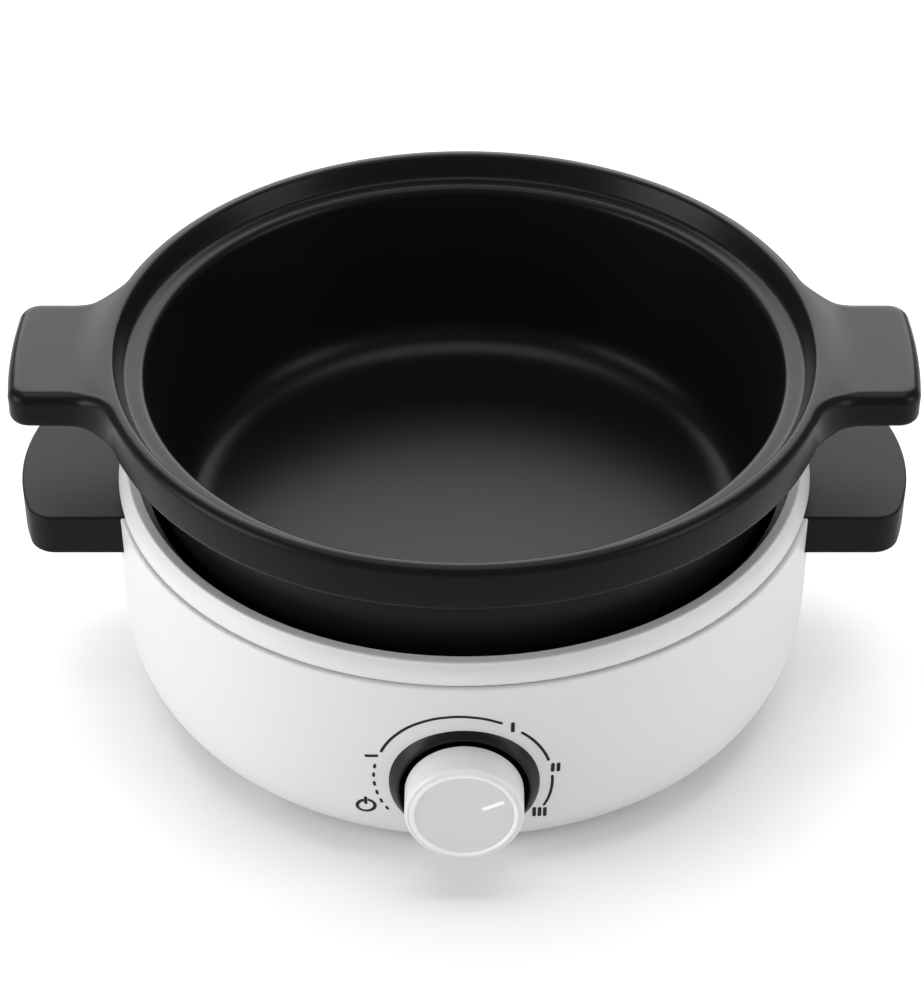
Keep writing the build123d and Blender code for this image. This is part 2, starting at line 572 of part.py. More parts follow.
def pointer_outline():
    """The pointer's bar, drawn along +X of the knob."""
    middle = (POINTER_START + POINTER_END) / 2
    return Pos(middle, 0) * SlotOverall(POINTER_END - POINTER_START, POINTER_W)


def knob_pointer():
    bar = Pos(0, 0, KNOB_FACE_H - POINTER_SUNK) * extrude(pointer_outline(), amount=POINTER_SUNK - 0.45)
    return on_dial(Rot(0, 0, POINTER_DEG) * bar)


def knob_clip():
    """Spring band round the hub that squeezes it on to the spindle."""
    band = ring(CLIP_R, CLIP_R + CLIP_T, CLIP_H, CLIP_H + CLIP_TALL)
    band -= block(-8, 8, 2.0, 8, CLIP_H - 1, CLIP_H + 5)
    return on_dial(Rot(0, 0, POINTER_DEG) * band)


def thermostat_body():
    """Switch block behind the bezel, with the threaded bush that carries the spindle."""
    w, tall, front = THERMOSTAT_W, THERMOSTAT_TALL, THERMOSTAT_FRONT_H
    body = block(-w / 2, w / 2, -tall / 2, tall / 2, front - THERMOSTAT_DEEP, front)
    body = chamfer(body.edges().filter_by(Axis.Z), 2.0)
    body += disc(BUSH_R, front, BEZEL_FLOOR_H + 3.2)
    for x in (-9, 9):
        body += block(x - 3.2, x + 3.2, -11, -10, front - THERMOSTAT_DEEP - 7, front - THERMOSTAT_DEEP)
    body -= disc(SHAFT_R + SHAFT_FIT, front - 12, BEZEL_FLOOR_H + 4)
    body -= Pos(0, 6, front - THERMOSTAT_DEEP) * Cylinder(0.8, 3)
    return on_dial(body)


def thermostat_nut():
    """Flat hexagon nut that clamps the bush in the floor of the bezel."""
    flat = extrude(RegularPolygon(7.0, 6), amount=2.0)
    nut = Pos(0, 0, BEZEL_FLOOR_H) * flat - disc(BUSH_R, 130, 150)
    return on_dial(nut)


# ---- supply -------------------------------------------------------------------------
def cord_gland():
    """Bush in the rear wall for the supply cord: collar outside, sleeve through, bore."""
    wall_y = sqrt(SHELL_WALL_R**2 - GLAND_R**2)
    sleeve = Pos(0, wall_y - 6, GLAND_Z) * Rot(90, 0, 0) * Cylinder(GLAND_R - 2.3, 12)
    collar = Pos(0, RIM_OUTER_R - 3.2, GLAND_Z) * Rot(90, 0, 0) * Cylinder(GLAND_R, 6.0)
    collar = fillet(collar.edges().sort_by(Axis.Y)[-1], 1.2) - shell_filled(0)
    inner = Pos(0, wall_y - 10.5, GLAND_Z) * Rot(90, 0, 0) * Cylinder(GLAND_R - 0.6, 3.0)
    bore = Pos(0, 130, GLAND_Z) * Rot(90, 0, 0) * Cylinder(GLAND_BORE_R, 60)
    return sleeve + collar + inner - bore


def terminal_block():
    """Three-way screw terminal on the bottom cover."""
    body = Box(30, 16, 12)
    body = chamfer(body.edges().filter_by(Axis.X), 1.2)
    for x in (-9, 0, 9):
        body -= Pos(x, 0, -1) * Rot(90, 0, 0) * Cylinder(1.8, 20)
        body -= Pos(x, 0, 4) * Cylinder(2.2, 6)
    return Pos(0, TERMINAL_Y, SHELL_BOTTOM_Z + COVER_T + 6) * body


def cord_clamp():
    """Bridge screwed to the cover that grips the cord inside the gland."""
    z = SHELL_BOTTOM_Z + COVER_T
    clamp = block(-14, 14, 97.0, 102.0, z + 3, z + 9) + block(-14, 14, 98.5, 100.5, z, z + 4)
    groove = Pos(0, 100, z + 11) * Rot(90, 0, 0) * Cylinder(4.0, 20)
    return clamp - groove


def wires():
    """The three inner leads, each straight runs with tangent bends."""
    z = 14.0
    x_block = 9.0
    y_block = TERMINAL_Y - 8.0
    block_z = SHELL_BOTTOM_Z + COVER_T + 5
    tag_z = DIAL_Z - 10.5
    pin_z = ELEMENT_Z - 12
    angle = radians(90 - ELEMENT_GAP_DEG / 2)
    pin_x, pin_y = ELEMENT_R * cos(angle), ELEMENT_R * sin(angle)
    live = [(x_block, y_block, block_z), (x_block, 62, block_z), (52, 20, z), (52, -50, z),
            (9, -94, z + 6), (9, -94, tag_z - 1)]
    neutral = [(-x_block, y_block, block_z), (-x_block, 68, block_z), (-pin_x, 46, z + 8),
               (-pin_x, pin_y, pin_z - 6), (-pin_x, pin_y, pin_z)]
    switched = [(-9, -94, tag_z - 1), (-9, -94, z + 6), (-50, -50, z), (-50, 10, z),
                (pin_x, 40, z + 10), (pin_x, pin_y, pin_z - 6), (pin_x, pin_y, pin_z)]
    return {
        "live_wire": tube_along(live, 4.0, 1.1),
        "neutral_wire": tube_along(neutral, 3.0, 1.1),
        "switched_wire": tube_along(switched, 3.0, 1.1),
    }


def earth_tab():
    """Spade tab for the earth lead, folded up from the heat shield."""
    blade = block(-30, -24, -20, -19.2, SHIELD_Z - 9, SHIELD_Z)
    return blade + block(-30, -24, -24, -19.2, SHIELD_Z - 0.8, SHIELD_Z)


# ---- screws -------------------------------------------------------------------------
def cover_screws():
    one = Pos(0, 0, SHELL_BOTTOM_Z + SCREW_HEAD_T) * screw(11.5)
    return Compound(children=around(one, COVER_SCREW_R, COVER_POST_DEGREES))


def handle_screws():
    one = Pos(0, 0, BASE_HANDLE_BOTTOM_Z - 3) * screw(11)
    spots = [(x, y) for x in (-HANDLE_SCREW_X, HANDLE_SCREW_X)
             for y in (-HANDLE_SCREW_Y, HANDLE_SCREW_Y)]
    return Compound(children=[Pos(x, y, 0) * one for x, y in spots])


# ---- write every piece --------------------------------------------------------------
os.makedirs("parts", exist_ok=True)
PIECES = {
    "pot": pot,
    "base_shell": base_shell,
    "top_ring": top_ring,
    "left_base_handle": lambda: base_handle(LEFT),
    "right_base_handle": lambda: base_handle(RIGHT),
    "bottom_cover": bottom_cover,
    "feet": feet,
    "foot_pads": foot_pads,
    "heater_bowl": heater_bowl,
    "bowl_seal": bowl_seal,
    "heating_plate": heating_plate,
    "heating_element": heating_element,
    "element_clamps": element_clamps,
    "clamp_screws": clamp_screws,
    "heat_shield": heat_shield,
    "shield_spacers": shield_spacers,
    "plate_screws": plate_screws,
    "thermal_fuse": thermal_fuse,
    "fuse_clip": fuse_clip,
    "sensor_bulb": sensor_bulb,
    "capillary_tube": capillary_tube,
    "knob_bezel": knob_bezel,
    "knob": knob,
    "knob_pointer": knob_pointer,
    "knob_clip": knob_clip,
    "thermostat_shaft": thermostat_shaft,
    "thermostat_body": thermostat_body,
    "thermostat_nut": thermostat_nut,
    "cord_gland": cord_gland,
    "cord_clamp": cord_clamp,
    "terminal_block": terminal_block,
    "earth_tab": earth_tab,
    "cover_screws": cover_screws,
    "handle_screws": handle_screws,
}
for name, make in PIECES.items():
    write(name, make())
for name, lead in wires().items():
    write(name, lead)
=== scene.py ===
# %% [markdown]
# # A slow cooker: glazed pot in a moulded electric base
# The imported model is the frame: every casing, screw and wire is already there, in metres, +Z up, the floor
# at z = 0 and the control knob towards -Y. This file adds what a design drawing leaves out: finishes, the
# printed dial and a sculpted skin for the pot, whose soft blends are easier to shape as a mesh.

# %% Load the frame
from math import atan2, cos, degrees, hypot, pi, radians, sin, sqrt

import bmesh
import bpy
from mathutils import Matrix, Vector
from mathutils.bvhtree import BVHTree


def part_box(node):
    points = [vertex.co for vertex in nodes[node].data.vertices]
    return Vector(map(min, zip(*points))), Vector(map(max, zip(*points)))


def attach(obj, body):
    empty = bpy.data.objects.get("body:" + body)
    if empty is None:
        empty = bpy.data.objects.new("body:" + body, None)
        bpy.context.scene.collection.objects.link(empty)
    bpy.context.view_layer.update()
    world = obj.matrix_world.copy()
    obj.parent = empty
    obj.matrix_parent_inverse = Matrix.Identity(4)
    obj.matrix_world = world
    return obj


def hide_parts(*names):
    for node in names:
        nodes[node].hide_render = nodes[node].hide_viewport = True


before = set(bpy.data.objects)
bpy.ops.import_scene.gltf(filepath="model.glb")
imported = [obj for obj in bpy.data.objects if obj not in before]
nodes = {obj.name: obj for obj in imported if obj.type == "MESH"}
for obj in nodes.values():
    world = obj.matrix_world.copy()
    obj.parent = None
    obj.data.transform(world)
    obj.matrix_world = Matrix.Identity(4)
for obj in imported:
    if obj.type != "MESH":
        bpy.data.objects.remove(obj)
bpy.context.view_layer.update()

MM = 0.001

# %% [markdown]
# The pot is turned about its own vertical axis, which stands a little behind the middle of the footprint
# because the knob reaches forward. The pot's box gives that axis, and the knob's box gives the dial's.

# %% Axes read from the frame
pot_low, pot_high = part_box("pot")
knob_low, knob_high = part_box("knob")
shell_low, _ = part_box("base_shell")
AXIS = Vector(((pot_low.x + pot_high.x) / 2, (pot_low.y + pot_high.y) / 2, 0))
DIAL = Vector(((knob_low.x + knob_high.x) / 2, knob_low.y, (knob_low.z + knob_high.z) / 2))
KNOB_R = (knob_high.x - knob_low.x) / 2
print("pot axis", AXIS, "dial", DIAL, "knob radius", round(KNOB_R, 4))

# %% [markdown]
# ## Camera, floor and light
# A long lens from about 1.5 m keeps the ellipses of the rim calm, as product pictures do. It looks down at
# 37.5 degrees, at a point on the pot's axis about half-way up. A small shift does the last bit of framing.

# %% Camera
TILT = radians(37.525)
DISTANCE = 1.5
AIM_Z = 0.07487
LENS = 134.2
aim = Vector((AXIS.x, AXIS.y, AIM_Z))
camera_data = bpy.data.cameras.new("camera")
camera_data.lens = LENS
camera_data.shift_x = -0.0023
camera = bpy.data.objects.new("camera", camera_data)
camera.location = aim + DISTANCE * Vector((0, -cos(TILT), sin(TILT)))
camera.rotation_euler = (pi / 2 - TILT, 0, 0)
bpy.context.scene.collection.objects.link(camera)
bpy.context.scene.camera = camera
print("camera at", tuple(round(v, 3) for v in camera.location))

# %% [markdown]
# Satin black shows mostly what it mirrors, so the light is a room of large pale surfaces: a white floor, a
# soft white dome, a small softbox overhead and a tall pale wall behind that the level tops reflect. The
# black tops need a much brighter wall than the white back can bear, so the wall is two lamps in one place:
# a moderate one that lights everything, and a sheen panel that only glossy reflections see.


# %% Floor and lights
def new_mesh(name, points, faces, smooth=True):
    """A mesh object in the scene from a list of points and faces, with every face turned outward."""
    mesh = bpy.data.meshes.new(name)
    mesh.from_pydata([tuple(p) for p in points], [], faces)
    mesh.validate()
    if len(faces) > 1:
        work = bmesh.new()
        work.from_mesh(mesh)
        bmesh.ops.recalc_face_normals(work, faces=work.faces)
        work.to_mesh(mesh)
        work.free()
    mesh.update()
    if smooth:
        mesh.shade_smooth()
    thing = bpy.data.objects.new(name, mesh)
    bpy.context.scene.collection.objects.link(thing)
    return thing


def softbox(name, place, target, width, height, watts, tint=(1, 1, 1)):
    """A rectangular lamp at a place, turned to face a target."""
    light = bpy.data.lights.new(name, "AREA")
    light.shape, light.size, light.size_y = "RECTANGLE", width, height
    light.energy, light.color = watts, tint
    lamp = bpy.data.objects.new(name, light)
    lamp.location = place
    lamp.rotation_euler = (Vector(target) - Vector(place)).to_track_quat("-Z", "Y").to_euler()
    bpy.context.scene.collection.objects.link(lamp)
    return lamp


FLOOR = 4.0
corners = [(-FLOOR, -FLOOR, 0), (FLOOR, -FLOOR, 0), (FLOOR, FLOOR, 0), (-FLOOR, FLOOR, 0)]
floor = new_mesh("studio_floor", corners, [(0, 1, 2, 3)], smooth=False)
softbox("overhead_softbox", (0, 0.1, 1.9), (0, 0, 0.1), 1.6, 1.1, 20)
softbox("back_wall", (0, 2.3, 1.45), (0, 0, 0.12), 3.4, 2.2, 50, (0.98, 0.99, 1.0))
sheen_panel = softbox("sheen_panel", (0, 2.32, 1.45), (0, 0, 0.12), 3.4, 2.2, 100, (0.96, 0.975, 1.0))
sheen_panel.visible_diffuse = False
softbox("left_window", (-2.0, -0.7, 0.65), (-0.1, 0, 0.05), 1.2, 1.1, 30)
softbox("right_window", (2.0, -0.9, 0.9), (0, 0, 0.10), 1.0, 1.2, 19)

world = bpy.data.worlds.new("studio_dome")
world.use_nodes = True
world.node_tree.nodes["Background"].inputs["Color"].default_value = (0.985, 0.99, 1.0, 1)
world.node_tree.nodes["Background"].inputs["Strength"].default_value = 0.37
bpy.context.scene.world = world
bpy.context.scene.view_settings.view_transform = "Standard"

# %% [markdown]
# ## Writing finishes as expressions
# A finish is a graph of shader nodes. Written node by node it is hard to read, so a small class wraps a
# socket and lets arithmetic make the Math nodes: `0.4 + 0.1 * grain` reads as what it does. Another class
# holds the material and makes every other kind of node through one method.


# %% Socket arithmetic
class Field:
    """A value that varies over a surface; arithmetic on it adds Math nodes."""

    def __init__(self, paint, socket):
        self.paint, self.socket = paint, socket

    def math(self, operation, *values):
        settings = {"operation": operation}
        return self.paint.node("ShaderNodeMath", settings, dict(enumerate(values)))

    def __add__(self, other):
        return self.math("ADD", self, other)

    def __mul__(self, other):
        return self.math("MULTIPLY", self, other)

    def __sub__(self, other):
        return self.math("SUBTRACT", self, other)

    def __rsub__(self, other):
        return self.math("SUBTRACT", other, self)

    def __pow__(self, other):
        return self.math("POWER", self, other)

    __radd__, __rmul__ = __add__, __mul__

    def between(self, low, high):
        """0 at low, 1 at high, smooth in between."""
        settings = {"interpolation_type": "SMOOTHSTEP"}
        values = {"Value": self, "From Min": low, "From Max": high}
        return self.paint.node("ShaderNodeMapRange", settings, values)


class Paint:
    """One material: a Principled shader, and one method that makes any other node."""

    def __init__(self, name, base, roughness, **constants):
        self.material = bpy.data.materials.new(name)
        self.material.use_nodes = True
        self.tree = self.material.node_tree
        self.shader = self.tree.nodes["Principled BSDF"]
        self.shader.inputs["Base Color"].default_value = (*base, 1)
        self.shader.inputs["Roughness"].default_value = roughness
        for socket, value in constants.items():
            self.shader.inputs[socket.replace("_", " ")].default_value = value

    def node(self, kind, settings=None, values=None, output=0):
        made = self.tree.nodes.new(kind)
        for name, value in (settings or {}).items():
            setattr(made, name, value)
        for name, value in (values or {}).items():
            self.feed(made.inputs[name], value)
        return Field(self, made.outputs[output])

    def feed(self, socket, value):
        if isinstance(value, Field):
            self.tree.links.new(value.socket, socket)
        else:
            socket.default_value = value

    def place(self):
        return self.node("ShaderNodeTexCoord", output="Object")

    def parts(self, vector):
        """The x, y and z of a vector, as three Fields."""
        split = self.node("ShaderNodeSeparateXYZ", values={0: vector})
        return [Field(self, socket) for socket in split.socket.node.outputs]

    def noise(self, scale, detail=3.0, roughness=0.55, vector=None):
        values = {"Vector": vector or self.place(), "Scale": scale, "Detail": detail, "Roughness": roughness}
        return self.node("ShaderNodeTexNoise", values=values)

    def stretched(self, x, y, z):
        """The place on the object with each direction scaled, for a grain that runs one way."""
        return self.node("ShaderNodeVectorMath", {"operation": "MULTIPLY"}, {0: self.place(), 1: (x, y, z)})

    def blend(self, factor, first, second):
        """A colour between two, each a Field or a plain (r, g, b)."""
        values = {"Factor": factor}
        for socket, colour in ((6, first), (7, second)):
            values[socket] = colour if isinstance(colour, Field) else (*colour, 1)
        return self.node("ShaderNodeMix", {"data_type": "RGBA"}, values, output=2)

    def relief(self, height, distance, strength=1.0):
        values = {"Height": height, "Distance": distance, "Strength": strength}
        self.use(Normal=self.node("ShaderNodeBump", values=values))

    def use(self, **fields):
        """Feeds the shader's sockets: Base_Color, Roughness, Metallic, Normal."""
        for name, value in fields.items():
            self.feed(self.shader.inputs[name.replace("_", " ")], value)


def dress(paint, *names):
    """Gives CAD nodes a finish by replacing what is in their material slots."""
    for name in names:
        slots = nodes[name].material_slots
        for slot in slots:
            slot.material = paint.material
        if not slots:
            nodes[name].data.materials.append(paint.material)


# %% [markdown]
# ### White satin moulding
# The base is injection-moulded in a white plastic with a fine spark-eroded texture, which kills hard
# reflections. Two scales of noise do it: a fine one lifts the surface by hundredths of a millimetre, a broad
# one shifts tone and roughness a little, as handling and mould flow do. Close to the floor it is darker, in
# patches.


# %% White satin moulding
def white_moulding(name, tone):
    paint = Paint(name, tone, 0.42)
    broad = paint.noise(9.0, 4.0)
    fine = paint.noise(1900.0, 2.0)
    _, _, z = paint.parts(paint.place())
    # Darker towards the floor, in patches: blended towards a grey-brown within 18 mm of the floor.
    near_floor_darkening = (1 - z.between(0.0, 0.018)) * (0.35 + 0.65 * paint.noise(60.0, 5.0))
    moulding_tone = paint.blend(broad, [0.975 * c for c in tone], [min(1.0, 1.02 * c) for c in tone])
    paint.use(Base_Color=paint.blend(0.25 * near_floor_darkening, moulding_tone, (0.42, 0.40, 0.37)))
    paint.use(Roughness=0.36 + 0.10 * broad + 0.05 * fine)
    paint.relief(fine + 0.6 * paint.noise(420.0, 2.0), 0.00003, 0.6)
    return paint


WHITE = (0.64, 0.64, 0.635)
dress(white_moulding("white_moulding", WHITE), "base_shell", "feet")
dress(white_moulding("white_ring_moulding", (0.67, 0.67, 0.665)), "top_ring")

# %% [markdown]
# ### Black mouldings
# The base's side handles are a heat-resisting black plastic, matte with a leather-fine grain. The ring
# round the knob is the same black with a closer finish. Plastic has a specular level near 0.5. The lower
# levels here were chosen to look right under this studio's bright back wall, so under other lamps the
# black looks flatter than plastic does, and the level should go back up.


# %% Black mouldings
def black_moulding(name, tone, roughness, grain, mirror=0.28):
    paint = Paint(name, tone, roughness, Specular_IOR_Level=mirror)
    broad = paint.noise(22.0, 4.0)
    cells = paint.node("ShaderNodeTexVoronoi", values={"Vector": paint.place(), "Scale": grain})
    paint.use(Base_Color=paint.blend(broad, [0.85 * c for c in tone], [1.2 * c for c in tone]))
    paint.use(Roughness=roughness - 0.03 + 0.04 * broad + 0.04 * cells)
    paint.relief(cells + 0.5 * paint.noise(grain * 1.7, 2.0), 0.00004, 0.55)
    return paint


BLACK = (0.0065, 0.0068, 0.0072)
handle_black = black_moulding("black_handle_moulding", BLACK, 0.46, 1300.0, 0.09)
dress(handle_black, "left_base_handle", "right_base_handle")
bezel_black = black_moulding("black_bezel", (0.0060, 0.0062, 0.0066), 0.36, 2400.0, 0.16)
dress(bezel_black, "knob_bezel")
dress(black_moulding("black_cover_moulding", (0.03, 0.03, 0.032), 0.55, 900.0), "bottom_cover")
dress(black_moulding("black_gland", (0.02, 0.02, 0.022), 0.5, 1500.0), "cord_gland", "cord_clamp")

# %% [markdown]
# ### The knob
# One pale grey moulding: the side is a little lighter than the dished face, which is finished smoother.
# The bead round the face is painted near white, a painted highlight on its rounded edge. The masks are a
# distance from the dial's axis, worked out from the place on the knob, so they turn with the knob.


# %% Knob
def knob_finish():
    # The third colour is a painted highlight: the rounded bead is coloured near white, as if catching light.
    side, face, painted_bead_highlight = (0.66, 0.66, 0.655), (0.60, 0.60, 0.595), (0.80, 0.80, 0.80)
    paint = Paint("knob_moulding", side, 0.38)
    x, y, z = paint.parts(paint.place())
    radius = ((x - DIAL.x) ** 2 + (z - DIAL.z) ** 2) ** 0.5
    within = 1 - radius.between(KNOB_R - 3.95 * MM, KNOB_R - 3.55 * MM)
    inside = within * (1 - y.between(DIAL.y + 2 * MM, DIAL.y + 3 * MM))
    # Mask of the bead, where the painted highlight goes.
    bead_highlight_mask = (1 - within) * (1 - radius.between(KNOB_R - 2.5 * MM, KNOB_R - 2.1 * MM))
    bead_highlight_mask = bead_highlight_mask * (1 - y.between(DIAL.y + 2 * MM, DIAL.y + 3 * MM))
    broad = paint.noise(40.0, 4.0)
    tone = paint.blend(bead_highlight_mask, paint.blend(inside, side, face), painted_bead_highlight)
    paint.use(Base_Color=paint.blend(0.08 * broad, tone, (0.55, 0.55, 0.55)))
    paint.use(Roughness=0.34 + 0.10 * broad - 0.04 * inside)
    paint.relief(paint.noise(2200.0, 2.0), 0.00002, 0.5)
    return paint


def inlay_finish():
    paint = Paint("pointer_inlay", (0.93, 0.93, 0.93), 0.35)
    spread = paint.noise(300.0, 3.0)
    paint.use(Base_Color=paint.blend(spread, (0.90, 0.90, 0.90), (0.97, 0.97, 0.97)))
    paint.use(Roughness=0.30 + 0.12 * spread)
    return paint


dress(knob_finish(), "knob")
dress(inlay_finish(), "knob_pointer")

# %% [markdown]
# ### Metal, rubber and inner parts
# Most of these are out of sight until the pot is lifted or the base is turned over, but each keeps its own
# finish. One function makes the metals: a tone, how rough it is, and which way its drawing marks run.


# %% Metals
def metal(name, tone, roughness, stretch=(1, 1, 1), marks=500.0, stain=(0.3, 0.28, 0.26), stained=0.25):
    paint = Paint(name, tone, roughness, Metallic=1.0)
    lines = paint.noise(marks, 3.0, vector=paint.stretched(*stretch))
    patches = paint.noise(30.0, 5.0).between(0.4, 0.8)
    base = paint.blend(lines, [0.88 * c for c in tone], [min(1.0, 1.08 * c) for c in tone])
    paint.use(Base_Color=paint.blend(stained * patches, base, stain))
    paint.use(Roughness=roughness - 0.08 + 0.16 * lines + 0.10 * patches)
    paint.relief(lines, 0.00002, 0.5)
    return paint


dress(metal("zinc_plate", (0.62, 0.62, 0.60), 0.36),
      "clamp_screws", "plate_screws", "cover_screws", "handle_screws", "element_clamps", "shield_spacers",
      "fuse_clip", "knob_clip", "earth_tab", "thermostat_shaft")
dress(metal("bright_steel", (0.66, 0.66, 0.65), 0.28, (1, 6, 1)), "heat_shield")
dress(metal("cast_plate", (0.20, 0.20, 0.205), 0.56, (1, 1, 4), 260.0), "heating_plate")
dress(metal("heat_tinted_sheath", (0.34, 0.30, 0.28), 0.45, stain=(0.20, 0.13, 0.10), stained=0.6),
      "heating_element")
dress(metal("turned_brass", (0.78, 0.62, 0.34), 0.30), "thermostat_nut")
dress(metal("copper_tube", (0.80, 0.48, 0.34), 0.30, (1, 0.2, 1)), "sensor_bulb", "capillary_tube")
dress(metal("fuse_can", (0.70, 0.70, 0.70), 0.32), "thermal_fuse")


# %% Enamel, rubber and insulation
def dull(name, tone, roughness, fine=800.0, depth=0.00004):
    paint = Paint(name, tone, roughness)
    broad = paint.noise(35.0, 4.0)
    paint.use(Base_Color=paint.blend(broad, [0.82 * c for c in tone], [min(1.0, 1.15 * c) for c in tone]))
    paint.use(Roughness=roughness - 0.06 + 0.14 * broad)
    paint.relief(paint.noise(fine, 3.0), depth, 0.6)
    return paint


dress(dull("dark_bowl_enamel", (0.014, 0.014, 0.015), 0.42, 260.0), "heater_bowl")
dress(dull("pad_rubber", (0.030, 0.030, 0.031), 0.78), "foot_pads")
dress(dull("seal_silicone", (0.42, 0.10, 0.06), 0.60), "bowl_seal")
dress(dull("switch_moulding", (0.58, 0.52, 0.38), 0.48), "thermostat_body")
dress(dull("terminal_moulding", (0.74, 0.73, 0.68), 0.45), "terminal_block")
dress(dull("brown_insulation", (0.16, 0.06, 0.03), 0.45), "live_wire")
dress(dull("blue_insulation", (0.03, 0.10, 0.32), 0.45), "neutral_wire")
dress(dull("grey_insulation", (0.30, 0.30, 0.31), 0.45), "switched_wire")
floor_paint = Paint("floor_paper", (0.93, 0.93, 0.93), 0.75)
floor_paint.use(Roughness=0.70 + 0.12 * floor_paint.noise(4.0))
floor.data.materials.append(floor_paint.material)

# %% [markdown]
# ### Pot glaze
# The pot is stoneware under a satin black glaze. A glaze is never one tone: it pools darker at the foot
# and carries pinholes. Its surface rolls very slightly, which bends the reflections, so a low wide noise
# is added to the fine one in the relief. Its specular level is lowered for this studio too.


# %% Pot glaze
POT_LOW_Z = pot_low.z


def pot_glaze():
    deep, thin = (0.0034, 0.0036, 0.0040), (0.0058, 0.0061, 0.0066)
    paint = Paint("satin_black_glaze", deep, 0.30, Specular_IOR_Level=0.09)
    broad = paint.noise(14.0, 4.0)
    fine = paint.noise(1100.0, 3.0)
    holes = paint.node("ShaderNodeTexVoronoi", values={"Vector": paint.place(), "Scale": 260.0})
    pinhole = 1 - holes.between(0.06, 0.14)
    _, _, z = paint.parts(paint.place())
    pooled = 1 - z.between(POT_LOW_Z, POT_LOW_Z + 0.03)
    paint.use(Base_Color=paint.blend(0.5 * pooled, paint.blend(broad, deep, thin), deep))
    paint.use(Roughness=0.27 + 0.06 * broad + 0.03 * fine)
    roll = paint.noise(70.0, 2.0)
    paint.relief(0.05 * fine + 0.6 * roll - 0.10 * pinhole, 0.0003, 0.30)
    return paint


glaze = pot_glaze()
dress(glaze, "pot")

# %% [markdown]
# ## The pot's skin
# Seen from above the pot is a circle with a tab at each side, and every edge is soft. The skin is one sheet
# of four-sided faces: columns run round the outline and rows run from the middle of the floor, up the
# inside, over the rim and down the outside. Where the outline swings out round a tab, the same rows simply
# stretch to follow it, so tab and rim flow into each other with no join.

# %% Outline of the rim and its tabs, seen from above
RIM_R = (pot_high.y - pot_low.y) / 2
TAB_REACH = (pot_high.x - pot_low.x) / 2
TAB_HALF = 32.8 * MM
FLARE = 22 * MM
CORNER = 8.5 * MM
BOW = 1.2 * MM


def arc(centre, radius, start, end, count):
    """(point, outward normal) along an arc; a negative radius curves the other way."""
    made = []
    for i in range(count):
        angle = start + (end - start) * i / count
        normal = Vector((cos(angle), sin(angle)))
        made.append((centre + abs(radius) * normal, normal if radius > 0 else -normal))
    return made


def tab_quarter():
    """Half of the right-hand tab's outline, from its tip to where it has joined the rim circle."""
    flare_y = TAB_HALF + FLARE
    flare_x = sqrt((RIM_R + FLARE) ** 2 - flare_y**2)
    join = atan2(flare_y, flare_x)
    end_x = TAB_REACH - BOW
    slope = atan2(BOW, TAB_HALF - CORNER)
    outline = []
    tip_steps = 14
    for i in range(tip_steps):
        t = i / tip_steps
        outline.append((Vector((TAB_REACH - BOW * t * t, (TAB_HALF - CORNER) * t)),
                        Vector((cos(slope * t), sin(slope * t)))))
    outline += arc(Vector((end_x - CORNER, TAB_HALF - CORNER)), CORNER, slope, pi / 2, 16)
    side_steps = 12
    start_x = end_x - CORNER
    for i in range(side_steps):
        outline.append((Vector((start_x + (flare_x - start_x) * i / side_steps, TAB_HALF)), Vector((0, 1))))
    outline += arc(Vector((flare_x, flare_y)), -FLARE, -pi / 2, join - pi, 26)
    return outline, join


def pot_outline():
    """The whole closed outline, anticlockwise from the right-hand tab's tip."""
    quarter, join = tab_quarter()
    rim = arc(Vector((0, 0)), RIM_R, join, pi - join, 150)
    top = quarter + rim
    flipped = [(Vector((-p.x, p.y)), Vector((-n.x, n.y))) for p, n in reversed(quarter)]
    upper = top + flipped
    lower = [(Vector((p.x, -p.y)), Vector((n.x, -n.y))) for p, n in reversed(upper[1:-1])]
    return upper + lower, join


outline, JOIN = pot_outline()
print("outline points", len(outline), "tabs join the rim at", round(degrees(JOIN), 1), "degrees")

# %% [markdown]
# A profile row is either a circle, given by its radius and height, or a line that follows the outline at
# some inset from it. Circle rows need a direction for each column: a tab has many columns but covers a small
# angle, so its columns are shared out evenly over that angle.


# %% Directions of the columns
def column_angles():
    """For each outline point, the direction on the inner circles that its column runs to."""
    total = len(outline)
    quarter = len(tab_quarter()[0])
    angles = []
    for i, (point, _) in enumerate(outline):
        polar = atan2(point.y, point.x)
        near_tip = min(i, total - i, abs(i - (total // 2)))
        if near_tip < quarter:
            side = 1 if (i < quarter or total - i < quarter) else -1
            share = JOIN * (near_tip / quarter) ** 1.15
            above = i < total // 2
            polar = (share if above else -share) if side == 1 else (pi - share if above else share - pi)
        angles.append(polar)
    return angles


angles = column_angles()

# %% [markdown]
# Rows of the inside come first: a flat floor, a wide corner, a leaning wall, the rounded ledge that a lid
# would sit on and the short wall up to the crest. Over the rim the height depends only on the distance from
# the axis: it leaves the crest level, then eases down to the tabs' flat top.

# %% Rows of the profile
FLOOR_Z, FOOT_Z = 72.0, 66.0
TOP_Z, TAB_TOP_Z = 152.0, 149.4
RIM_FOOT_Z, TAB_FOOT_Z = 133.2, 134.6


def eased(value, low, high):
    """0 below low, 1 above high, smooth between."""
    t = min(1.0, max(0.0, (value - low) / (high - low)))
    return t * t * (3 - 2 * t)


def corner_rows(start, bend, end, steps):
    """Points on a rounded corner: leaves start towards bend and arrives at end from bend."""
    rows = []
    for i in range(1, steps):
        t = i / steps
        rows.append(tuple((1 - t) ** 2 * a + 2 * t * (1 - t) * b + t * t * c
                          for a, b, c in zip(start, bend, end)))
    return rows


